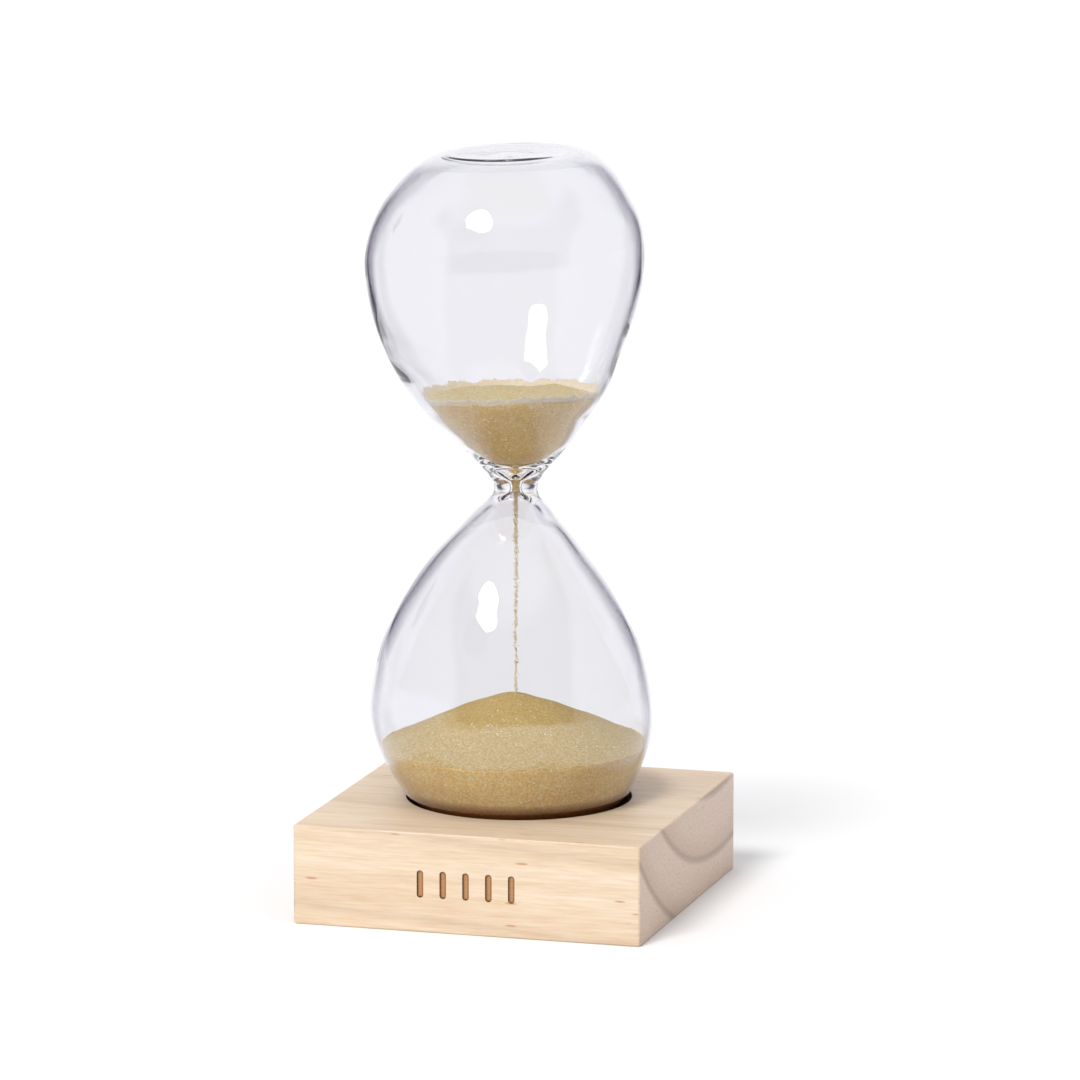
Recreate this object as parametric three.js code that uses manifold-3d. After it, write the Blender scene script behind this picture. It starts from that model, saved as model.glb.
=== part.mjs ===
// A five-minute hourglass: a blown glass vessel of two bulbs, part full of sand, that stands loose
// in a round recess in a square block of solid wood. Millimetres, +Z up, origin at the centre of
// the block's underside, +X to the right along the marked front face and +Y towards the back.

import * as THREE from "three";
import { mergeVertices } from "three/addons/utils/BufferGeometryUtils.js";
import Module from "manifold-3d";

const wasm = await Module();
wasm.setup();

// ---- driving dimensions ----

const BLOCK_SIDE = 70;
const BLOCK_HEIGHT = 19.7;
const CORNER_RADIUS = 1.2;      // the four upright corners
const EDGE_ROUNDING = 0.6;      // sanded round the top and the underside

const RECESS_RADIUS = 22.3;
const RECESS_DEPTH = 5;
const RECESS_X = -0.25;         // the recess is bored a little off the block's centre
const RECESS_Y = 2.4;

const MARK_COUNT = 5;           // burnt strokes on the front face, one for each minute
const MARK_PITCH = 4.6;
const MARK_WIDTH = 1.3;
const MARK_HEIGHT = 5.4;
const MARK_DEPTH = 0.5;
const MARK_MIDDLE_Z = 9.6;

const GAP = 0.3;                // left between pieces that touch
const FOOT_Z = BLOCK_HEIGHT - RECESS_DEPTH + GAP;
const WAIST_Z = 81.4;           // the narrowest height of the glass, where the bulbs are fused
const WAIST_RADIUS = 4.4;
const THROAT_RADIUS = 0.8;
const CROWN_Z = 147.7;          // rim of the flattened top
const CROWN_DIP = 1;            // how far the middle of the top sinks below its rim
const FLOOR_WALL = 1.8;         // glass thickness under the sand
const CROWN_WALL = 1.4;

const SEAL_RADIUS = 2.4;        // the blob of glass that closes the filling hole
const SEAL_TIP_RADIUS = 1.4;
const SEAL_SWELL = 0.4;         // how far it stands above and below the wall round it

const UPPER_SAND_Z = 99.6;      // its level surface
const HEAP_APEX_Z = 40;
const HEAP_EDGE_Z = 30.6;
const STREAM_RADIUS = 0.4;
const FUNNEL_DEPTH = 0.4;       // dip in the middle of the upper sand, over the throat

const ROUND_SIDES = 48;         // sides of everything that is turned round the glass's axis
const ARC_STEPS = 4;

// ---- outlines of the glass: [radius, height] from the foot up ----

const LOWER_OUTSIDE = [
  [14.4, FOOT_Z], [19, 16.8], [21.4, 19.7], [25.3, 26.5], [27.4, 33], [27.6, 39.5],
  [25.8, 48.5], [22.9, 55.5], [18.9, 62.5], [14.55, 68.5], [10.3, 73.5], [6.9, 77.6],
  [4.8, 80],
];
const LOWER_INSIDE = [
  [13.4, FOOT_Z + FLOOR_WALL], [18.4, 18.9], [24, 26.7], [26.2, 33], [26.4, 39.5],
  [24.6, 48.5], [21.7, 55.5], [17.6, 62.5], [13.1, 68.5], [8.6, 73.5], [4.4, 77.6], [1.5, 80],
];
const UPPER_OUTSIDE = [
  [5.3, 84.3], [8.3, 87.5], [12, 91.5], [16.2, 96.5], [20.3, 102.5], [23.4, 109.5],
  [25.8, 116.5], [27.15, 123.5], [27.05, 129.5], [25.7, 134.8], [22.9, 139.8], [19.4, 143.7],
  [16, 146.4], [14, 147.4], [12.4, CROWN_Z],
];
const UPPER_INSIDE = [
  [1.1, 84.2], [3.4, 85.7], [6.5, 87.6], [9.6, 90.4], [14.1, 96.2], [18.6, 102.5], [22, 109.5],
  [24.6, 116.5], [26, 123.5], [25.9, 129.5], [24.5, 134.6], [21.6, 139.4], [18.1, 142.9],
  [14.6, 145.2], [11.6, CROWN_Z - CROWN_WALL],
];
const CROWN_DISH = [[7.5, CROWN_Z - 0.7 * CROWN_DIP], [SEAL_RADIUS + GAP, CROWN_Z - CROWN_DIP]];

// The glass was drawn by hand, so its axis wanders to one side: [height, offset] along LEAN.
const LEAN = new THREE.Vector2(Math.cos(0.285), Math.sin(0.285));
const AXIS_OFFSETS = [
  [FOOT_Z, -0.2], [19.7, -0.3], [27, -1], [40, -1.6], [55, -1.85], [67, -1.9], [75, -1.3], [WAIST_Z, -0.6],
  [88, -0.75], [97, -2.1], [110, -3.1], [125, -2.8], [137, -2.2], [CROWN_Z, -1.8],
];

// ---- helpers ----

const points = (pairs) => pairs.map(([x, y]) => new THREE.Vector2(x, y));

/** A smooth outline through the given stations, as `steps` short straight stretches. */
function smooth(pairs, steps) {
  return new THREE.SplineCurve(points(pairs)).getPoints(steps);
}

const axisCurve = new THREE.SplineCurve(points(AXIS_OFFSETS));
const axisSamples = axisCurve.getPoints(200);

/** How far the glass's axis stands off the recess's, at a height, along LEAN. */
function axisOffset(z) {
  const above = axisSamples.findIndex((sample) => sample.x >= z);
  if (above === 0) return axisSamples[0].y;
  if (above < 0) return axisSamples.at(-1).y;
  const [low, high] = [axisSamples[above - 1], axisSamples[above]];
  return THREE.MathUtils.mapLinear(z, low.x, high.x, low.y, high.y);
}

/** One closed mesh: shared vertices merged, and the triangles that collapse at a pole dropped. */
function closedBody(geometry) {
  const bare = geometry.index ? geometry : geometry.clone();
  bare.deleteAttribute("normal");
  bare.deleteAttribute("uv");
  const merged = mergeVertices(bare, 1e-4);
  const corners = merged.index.array;
  const kept = [];
  for (let i = 0; i < corners.length; i += 3) {
    const [a, b, c] = corners.subarray(i, i + 3);
    if (a !== b && b !== c && c !== a) kept.push(a, b, c);
  }
  merged.setIndex(kept);
  return merged;
}

/** Turns an outline round +Z, then carries each ring to the glass's wandering axis. */
function turned(outline) {
  const geometry = new THREE.LatheGeometry(outline, ROUND_SIDES);
  geometry.rotateX(Math.PI / 2);
  const body = closedBody(geometry);
  const place = body.getAttribute("position");
  for (let i = 0; i < place.count; i++) {
    const z = place.getZ(i);
    const offset = axisOffset(z);
    place.setX(i, place.getX(i) + RECESS_X + offset * LEAN.x);
    place.setY(i, place.getY(i) + RECESS_Y + offset * LEAN.y);
  }
  return body;
}

function toManifold(geometry) {
  const body = closedBody(geometry);
  return new wasm.Manifold(new wasm.Mesh({
    numProp: 3,
    vertProperties: new Float32Array(body.getAttribute("position").array),
    triVerts: new Uint32Array(body.index.array),
  }));
}

function toGeometry(solid) {
  const mesh = solid.getMesh();
  const geometry = new THREE.BufferGeometry();
  geometry.setAttribute("position", new THREE.BufferAttribute(mesh.vertProperties, 3));
  geometry.setIndex(new THREE.BufferAttribute(mesh.triVerts, 1));
  return geometry;
}

const hourglass = new THREE.Group();

function addPiece(name, geometry, colour, roughness, look = {}) {
  const material = new THREE.MeshStandardMaterial({ color: colour, roughness, metalness: 0, ...look });
  const mesh = new THREE.Mesh(geometry, material);
  mesh.name = name;
  hourglass.add(mesh);
}

// ---- base block: a sanded square of wood with the recess and the burnt strokes cut into it ----

function squareOutline(side, radius) {
  const half = side / 2;
  const shape = new THREE.Shape();
  const turn = half - radius;
  shape.moveTo(-turn, -half);
  shape.absarc(turn, -turn, radius, -Math.PI / 2, 0);
  shape.absarc(turn, turn, radius, 0, Math.PI / 2);
  shape.absarc(-turn, turn, radius, Math.PI / 2, Math.PI);
  shape.absarc(-turn, -turn, radius, Math.PI, 1.5 * Math.PI);
  return shape;
}

function baseBlock() {
  const block = new THREE.ExtrudeGeometry(
    squareOutline(BLOCK_SIDE - 2 * EDGE_ROUNDING, CORNER_RADIUS - EDGE_ROUNDING),
    {
      depth: BLOCK_HEIGHT - 2 * EDGE_ROUNDING,
      bevelThickness: EDGE_ROUNDING,
      bevelSize: EDGE_ROUNDING,
      bevelSegments: 2,
      curveSegments: ARC_STEPS,
    },
  );
  block.translate(0, 0, EDGE_ROUNDING);
  const overshoot = 1;
  const cutter = new THREE.CylinderGeometry(
    RECESS_RADIUS, RECESS_RADIUS, RECESS_DEPTH + overshoot, ROUND_SIDES,
  );
  cutter.rotateX(Math.PI / 2);
  cutter.translate(RECESS_X, RECESS_Y, BLOCK_HEIGHT + (overshoot - RECESS_DEPTH) / 2);
  let solid = toManifold(block).subtract(toManifold(cutter));
  for (let i = 0; i < MARK_COUNT; i++) {
    const stroke = new THREE.BoxGeometry(MARK_WIDTH, 2 * MARK_DEPTH, MARK_HEIGHT);
    const x = (i - (MARK_COUNT - 1) / 2) * MARK_PITCH;
    stroke.translate(x, -BLOCK_SIDE / 2, MARK_MIDDLE_Z);
    solid = solid.subtract(toManifold(stroke));
  }
  return toGeometry(solid);
}

addPiece("base_block", baseBlock(), "#f0d9bb", 0.6);

// ---- the glass: each bulb is a shell open at its throat, and the upper one at its filling hole ----

const GLASS_LOOK = { transparent: true, opacity: 0.3 };
const OUTSIDE_STEPS = 26;
const INSIDE_STEPS = 22;

function lowerBulb() {
  const seam = WAIST_Z - GAP / 2;
  const outside = smooth([...LOWER_OUTSIDE, [WAIST_RADIUS, seam]], OUTSIDE_STEPS);
  const inside = smooth([...LOWER_INSIDE, [THROAT_RADIUS, seam]], INSIDE_STEPS).reverse();
  return turned([
    new THREE.Vector2(0, FOOT_Z),
    ...outside,
    ...inside,
    new THREE.Vector2(0, FOOT_Z + FLOOR_WALL),
  ]);
}

function upperBulb() {
  const seam = WAIST_Z + GAP / 2;
  const outside = smooth([[WAIST_RADIUS, seam], ...UPPER_OUTSIDE, ...CROWN_DISH], OUTSIDE_STEPS);
  const hole = new THREE.Vector2(SEAL_RADIUS + GAP, CROWN_Z - CROWN_DIP - CROWN_WALL);
  const inside = smooth([[THROAT_RADIUS, seam], ...UPPER_INSIDE], INSIDE_STEPS).reverse();
  return turned([...outside, hole, ...inside, outside[0].clone()]);
}

function fillSeal() {
  const top = CROWN_Z - CROWN_DIP;
  const bottom = top - CROWN_WALL;
  const tuck = 0.3;
  return turned(points([
    [0, bottom - SEAL_SWELL], [SEAL_TIP_RADIUS, bottom - SEAL_SWELL / 2],
    [SEAL_RADIUS, bottom + tuck], [SEAL_RADIUS, top - tuck],
    [SEAL_TIP_RADIUS, top + SEAL_SWELL / 2], [0, top + SEAL_SWELL],
  ]));
}

addPiece("lower_bulb", lowerBulb(), "#e9e9ee", 0.03, GLASS_LOOK);
addPiece("upper_bulb", upperBulb(), "#e9e9ee", 0.03, GLASS_LOOK);
addPiece("fill_seal", fillSeal(), "#e0e0e6", 0.05, GLASS_LOOK);

// ---- the sand: what is left in the upper bulb, the falling thread and the heap below ----

const SAND_COLOUR = "#c3a878";

/** The part of an inside outline between two heights, set in from the glass by the gap. */
function insideBetween(stations, low, high, steps) {
  return smooth(stations, 8 * steps)
    .filter((p) => p.y > low && p.y < high)
    .filter((_, i) => i % 4 === 0)
    .map((p) => new THREE.Vector2(Math.max(p.x - GAP, 0.01), p.y));
}

function upperSand() {
  const stem = WAIST_Z + GAP;
  const side = insideBetween(UPPER_INSIDE, UPPER_INSIDE[0][1], UPPER_SAND_Z, INSIDE_STEPS);
  const rim = side.at(-1);
  const flare = 0.7;            // how fast the cone widens at the sand's level
  return turned([
    new THREE.Vector2(0, stem),
    new THREE.Vector2(STREAM_RADIUS, stem),
    ...side,
    new THREE.Vector2(rim.x + (UPPER_SAND_Z - rim.y) * flare, UPPER_SAND_Z),
    new THREE.Vector2(0, UPPER_SAND_Z - FUNNEL_DEPTH),
  ]);
}

function sandStream() {
  const low = HEAP_APEX_Z + GAP;
  const high = WAIST_Z;
  const outline = [new THREE.Vector2(0, low)];
  const steps = 12;
  for (let i = 0; i <= steps; i++) {
    outline.push(new THREE.Vector2(STREAM_RADIUS, low + (i / steps) * (high - low)));
  }
  outline.push(new THREE.Vector2(0, high));
  return turned(outline);
}

function lowerSand() {
  const low = FOOT_Z + FLOOR_WALL + GAP;
  const [floorRadius] = LOWER_INSIDE[0];
  const firstRing = LOWER_INSIDE[1][1];
  const side = insideBetween(LOWER_INSIDE, firstRing, HEAP_EDGE_Z, INSIDE_STEPS);
  const edge = side.at(-1);
  const slope = smooth([[edge.x, HEAP_EDGE_Z], [13, 36.1], [5, 39.2], [0, HEAP_APEX_Z]], 7);
  const foot = new THREE.Vector2(floorRadius - 2 * GAP, low);
  return turned([new THREE.Vector2(0, low), foot, ...side, ...slope]);
}

addPiece("upper_sand", upperSand(), SAND_COLOUR, 0.85);
addPiece("sand_stream", sandStream(), SAND_COLOUR, 0.85);
addPiece("lower_sand", lowerSand(), SAND_COLOUR, 0.85);

export default hourglass;
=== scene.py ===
"""A five-minute hourglass on its wooden block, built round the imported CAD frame. Metres, +Z up."""

import math
import random

import bpy
from mathutils import Matrix, Vector, noise


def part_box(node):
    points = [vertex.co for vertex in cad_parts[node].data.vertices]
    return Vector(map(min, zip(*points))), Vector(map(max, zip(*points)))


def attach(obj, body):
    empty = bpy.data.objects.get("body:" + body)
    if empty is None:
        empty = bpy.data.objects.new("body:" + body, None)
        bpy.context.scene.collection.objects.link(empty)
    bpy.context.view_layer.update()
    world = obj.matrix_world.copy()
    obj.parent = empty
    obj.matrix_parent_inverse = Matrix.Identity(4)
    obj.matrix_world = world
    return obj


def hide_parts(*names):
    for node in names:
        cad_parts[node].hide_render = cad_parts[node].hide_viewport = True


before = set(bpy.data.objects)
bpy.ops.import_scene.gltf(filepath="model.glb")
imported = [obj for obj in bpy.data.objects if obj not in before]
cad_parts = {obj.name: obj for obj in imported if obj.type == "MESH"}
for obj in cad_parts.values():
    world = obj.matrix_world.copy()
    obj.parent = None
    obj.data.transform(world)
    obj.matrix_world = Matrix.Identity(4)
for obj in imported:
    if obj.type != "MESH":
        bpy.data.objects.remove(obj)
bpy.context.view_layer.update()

MM = 0.001
random.seed(5)

# ---- sizes, from the frame where it has them ----

block_low, block_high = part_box("base_block")
waist_z = (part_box("lower_bulb")[1].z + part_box("upper_bulb")[0].z) / 2
heap_apex_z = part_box("lower_sand")[1].z
sand_level_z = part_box("upper_sand")[1].z
heap_edge_z = 30.6 * MM

RECESS_RADIUS = 22.3 * MM
RECESS_DEPTH = 5 * MM
RECESS_X = -0.25 * MM
RECESS_Y = 2.4 * MM
recess_floor_z = block_high.z - RECESS_DEPTH

CAMERA_AZIMUTH = math.radians(16.31)
CAMERA_ELEVATION = math.radians(10.72)
CAMERA_DISTANCE = 1.5419
CAMERA_LENS = 260.37
SENSOR_WIDTH = 36
AIM_RIGHT = 4.55 * MM
AIM_UP = 70.14 * MM

# The hand-blown glass leans and wanders along this direction, across the view of its front.
LEAN = Vector((math.cos(CAMERA_AZIMUTH), math.sin(CAMERA_AZIMUTH), 0))
DEPTH = Vector((-LEAN.y, LEAN.x, 0))


# ---- small helpers ----

def linear(hex_colour):
    """sRGB hex to the linear RGBA that shaders take."""
    channels = [int(hex_colour[i:i + 2], 16) / 255 for i in (1, 3, 5)]
    return tuple(c / 12.92 if c <= 0.04045 else ((c + 0.055) / 1.055) ** 2.4 for c in channels) + (1,)


def add(tree, kind, settings=(), inputs=(), stops=()):
    """Adds a node with its settings, its inputs filled or linked, and any (position, colour) stops."""
    item = tree.nodes.new(kind)
    for key, value in dict(settings).items():
        setattr(item, key, value)
    for key, value in dict(inputs).items():
        if isinstance(value, bpy.types.NodeSocket):
            tree.links.new(value, item.inputs[key])
        else:
            item.inputs[key].default_value = value
    for i, (position, colour) in enumerate(stops):
        elements = item.color_ramp.elements
        element = elements[i] if i < len(elements) else elements.new(position)
        element.position = position
        element.color = linear(colour)
    return item


def new_material(name):
    """A new material, with its node tree and the shader in it."""
    material = bpy.data.materials.new(name)
    material.use_nodes = True
    tree = material.node_tree
    return material, tree, tree.nodes["Principled BSDF"]


def bare_material(name):
    """A new material with no node in it yet, for a panel that must not light the rest by itself."""
    material, tree, _ = new_material(name)
    tree.nodes.clear()
    material.cycles.emission_sampling = "NONE"
    return material, tree


def smooth(stations, steps):
    """A smooth curve through [radius, height] stations, the same one that the CAD outline uses."""
    found = []
    for k in range(steps + 1):
        p = k / steps * (len(stations) - 1)
        i = min(int(p), len(stations) - 2)
        t = p - i
        before, after = stations[max(i - 1, 0)], stations[min(i + 2, len(stations) - 1)]
        point = []
        for a, b, c, d in zip(before, stations[i], stations[i + 1], after):
            point.append(0.5 * ((2 * b) + (c - a) * t + (2 * a - 5 * b + 4 * c - d) * t ** 2
                                + (3 * b - a - 3 * c + d) * t ** 3))
        found.append(point)
    return found


def between(stations, z):
    """The value at a height, by smooth steps between [height, value] stations."""
    if z <= stations[0][0]:
        return stations[0][1]
    for (z0, v0), (z1, v1) in zip(stations, stations[1:]):
        if z <= z1:
            t = (z - z0) / (z1 - z0)
            return v0 + (v1 - v0) * t * t * (3 - 2 * t)
    return stations[-1][1]


def held(value):
    """A value held between 0 and 1."""
    return min(max(value, 0), 1)


def deselect():
    bpy.ops.object.select_all(action="DESELECT")


def select_only(piece):
    deselect()
    piece.select_set(True)
    bpy.context.view_layer.objects.active = piece


def turn_outline(name, outline, sides):
    """Extrudes an outline corner by corner, then spins it once round the upright axis."""
    deselect()
    bpy.ops.mesh.primitive_plane_add(size=0.1 * MM, location=(0, 0, 0))
    piece = bpy.context.object
    piece.name = name
    bpy.ops.object.mode_set(mode="EDIT")
    bpy.ops.mesh.select_mode(type="VERT")
    bpy.ops.mesh.select_all(action="SELECT")
    bpy.ops.mesh.merge(type="CENTER")
    start = Vector((outline[0][0], 0, outline[0][1]))
    bpy.ops.transform.translate(value=start)
    for (r0, z0), (r1, z1) in zip(outline, outline[1:]):
        step = (r1 - r0, 0, z1 - z0)
        bpy.ops.mesh.extrude_region_move(TRANSFORM_OT_translate={"value": step})
    bpy.ops.mesh.select_all(action="SELECT")
    bpy.ops.mesh.spin(steps=sides, angle=2 * math.pi, center=(0, 0, 0), axis=(0, 0, 1))
    bpy.ops.mesh.select_all(action="SELECT")
    bpy.ops.mesh.remove_doubles(threshold=0.002 * MM)
    bpy.ops.mesh.normals_make_consistent(inside=False)
    bpy.ops.object.mode_set(mode="OBJECT")
    bpy.ops.object.shade_smooth()
    return piece


def paint(piece, name, amount):
    """Paints an amount from 0 to 1 on a mesh, worked out from each corner's place."""
    layer = piece.data.attributes.new(name, "FLOAT", "POINT")
    for vertex, painted in zip(piece.data.vertices, layer.data):
        painted.value = held(amount(vertex.co))


def finish_piece(piece, body, slot, *nodes):
    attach(piece, body)
    if nodes:
        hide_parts(*nodes)


# ---- where the glass's axis runs ----

# [height, shift along LEAN] in mm: hand-blown bulbs don't stand quite straight over their foot.
AXIS_OFFSETS = [
    [15, -0.2], [19.7, -0.3], [27, -1], [40, -1.6], [55, -1.85], [67, -1.9], [75, -1.3],
    [81.4, -0.6], [88, -0.75], [97, -2.1], [110, -3.1], [125, -2.8], [137, -2.2], [147.7, -1.8],
]
# The inside of the upper cone keeps nearer to the throat's axis, so its wall is thick on one side.
INSIDE_EXTRA = [[87, 0], [93, 0.25], [99, 0.3], [108, 0.15], [120, 0]]


def axis_at(z, inside=False):
    """Where the glass's axis is at a height, as a vector from the block's middle with no height."""
    z_mm = z / MM
    offset = between(AXIS_OFFSETS, z_mm)
    if inside:
        offset += between(INSIDE_EXTRA, z_mm)
    return Vector((RECESS_X, RECESS_Y, 0)) + LEAN * offset * MM


# ---- materials ----

# settings that several nodes share
COLOUR = {"data_type": "RGBA"}
TIMES = {"data_type": "RGBA", "blend_type": "MULTIPLY"}
CLAMPED = {"clamp": True}


def soda_lime_glass():
    """Soda-lime glass, blown and fire polished: clear, with painted shade in its colour, a grey-lilac
    line where the wall is seen edge on."""
    material, tree, shader = new_material("soda_lime_glass")
    # painted shade: the glass's faint tint turns grey-lilac where the wall is seen edge on, but not on the
    # crown's flat parts
    edge = add(tree, "ShaderNodeLayerWeight", (), {"Blend": 0.5})
    facing = add(tree, "ShaderNodeSeparateXYZ", (), {0: add(tree, "ShaderNodeTexCoord").outputs["Normal"]})
    level = add(tree, "ShaderNodeMath", {"operation": "ABSOLUTE"}, {0: facing.outputs["Z"]})
    upright = add(tree, "ShaderNodeMapRange", CLAMPED,
                  {"Value": level.outputs[0], "From Min": 0.9, "From Max": 0.6})
    painted_edge_line = add(tree, "ShaderNodeMath", {"operation": "MULTIPLY"},
               {0: edge.outputs["Facing"], 1: upright.outputs[0]})
    glass_tint_and_painted_edge_shade = add(tree, "ShaderNodeValToRGB", (), {"Fac": painted_edge_line.outputs[0]},
               [(0.0, "#f5f5f7"), (0.6, "#f3f3f6"), (0.85, "#dcd9e3"), (1.0, "#a29bb0")])
    tree.links.new(glass_tint_and_painted_edge_shade.outputs["Color"], shader.inputs["Base Color"])
    shader.inputs["Roughness"].default_value = 0.0
    shader.inputs["IOR"].default_value = 1.5
    shader.inputs["Transmission Weight"].default_value = 1.0
    return material


# The grains are near 0.15 mm across; they are drawn twice as coarse, so that they show at all.
GRAIN_PATTERN = 0.3 * MM
DRIFT_PATTERN = 7 * MM
GRAIN_RELIEF = 0.12 * MM


def golden_sand(name, dark, mid, light, relief):
    """Dry sifted quartz sand, dyed pale gold: matt grains of many tones, a few of them painted near-white
    as glints.
    It is greener where it is painted fresh, painted darker as shade where it faces downwards, and brown
    where it is painted shaded."""
    material, tree, shader = new_material(name)
    coordinates = add(tree, "ShaderNodeTexCoord")
    place = coordinates.outputs["Object"]
    grains = add(tree, "ShaderNodeTexVoronoi", (), {"Vector": place, "Scale": 1 / GRAIN_PATTERN})
    tone = add(tree, "ShaderNodeSeparateColor", (), {"Color": grains.outputs["Color"]})
    drift = add(tree, "ShaderNodeTexNoise", (),
                {"Vector": place, "Scale": 1 / DRIFT_PATTERN, "Detail": 3.0})
    blend = add(tree, "ShaderNodeMath", {"operation": "MULTIPLY_ADD"},
                {0: drift.outputs["Fac"], 1: 0.4, 2: -0.2})
    mixed = add(tree, "ShaderNodeMath", {"operation": "ADD"},
                {0: tone.outputs["Red"], 1: blend.outputs[0]})
    body = add(tree, "ShaderNodeValToRGB", (), {"Fac": mixed.outputs[0]},
               [(0.0, dark), (0.5, mid), (1.0, light)])
    fresh = add(tree, "ShaderNodeAttribute", {"attribute_name": "fresh"})
    colour = add(tree, "ShaderNodeMix", TIMES,
                 {0: fresh.outputs["Fac"], 6: body.outputs["Color"], 7: linear("#f7efd3")})
    # painted shade: the colour is dulled where the sand faces downwards, away from the light above
    slope = add(tree, "ShaderNodeSeparateXYZ", (), {0: coordinates.outputs["Normal"]})
    painted_underside_shade = add(tree, "ShaderNodeMapRange", CLAMPED,
                {"Value": slope.outputs["Z"], "From Min": -0.5, "From Max": -0.8})
    colour = add(tree, "ShaderNodeMix", TIMES,
                 {0: painted_underside_shade.outputs[0], 6: colour.outputs[2], 7: linear("#ede2d3")})
    # painted highlights: a few grains coloured near-white as glints
    painted_glint = add(tree, "ShaderNodeMath", {"operation": "GREATER_THAN"},
                {0: tone.outputs["Green"], 1: 0.99})
    colour = add(tree, "ShaderNodeMix", COLOUR,
                 {0: painted_glint.outputs[0], 6: colour.outputs[2], 7: linear("#fffdf4")})
    shaded = add(tree, "ShaderNodeAttribute", {"attribute_name": "shade"})
    colour = add(tree, "ShaderNodeMix", TIMES,
                 {0: shaded.outputs["Fac"], 6: colour.outputs[2], 7: linear("#a0764f")})
    tree.links.new(colour.outputs[2], shader.inputs["Base Color"])
    bump = add(tree, "ShaderNodeBump", {"invert": True},
               {"Strength": relief, "Distance": GRAIN_RELIEF, "Height": grains.outputs["Distance"]})
    tree.links.new(bump.outputs["Normal"], shader.inputs["Normal"])
    shader.inputs["Roughness"].default_value = 0.75
    shader.inputs["Specular IOR Level"].default_value = 0.4
    return material


# The tree's heart lies above and behind the block and falls away slightly towards +X, so the rings
# show as long streaks on the sides and as arcs on the end grain.
HEART_Y = 21.7 * MM
HEART_Z = 77.2 * MM
HEART_SLOPE = 0.066
RING_SPACING = 12.7 * MM
RING_PHASE = 70.7 * MM
WARP_DEPTH = 2 * MM
# [along the grain, across it, up] sizes of each pattern
WARP_PATTERN = (125 * MM, 50 * MM, 50 * MM)
FIBRE_PATTERN = (9 * MM, 0.5 * MM, 0.5 * MM)
STREAK_PATTERN = (83 * MM, 3.85 * MM, 3.85 * MM)
FLECK_PATTERN = (12 * MM, 2.2 * MM, 2.2 * MM)


def scale_for(sizes):
    """The Mapping scale that makes a pattern's cells come out this large."""
    return tuple(1 / size for size in sizes)


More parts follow.
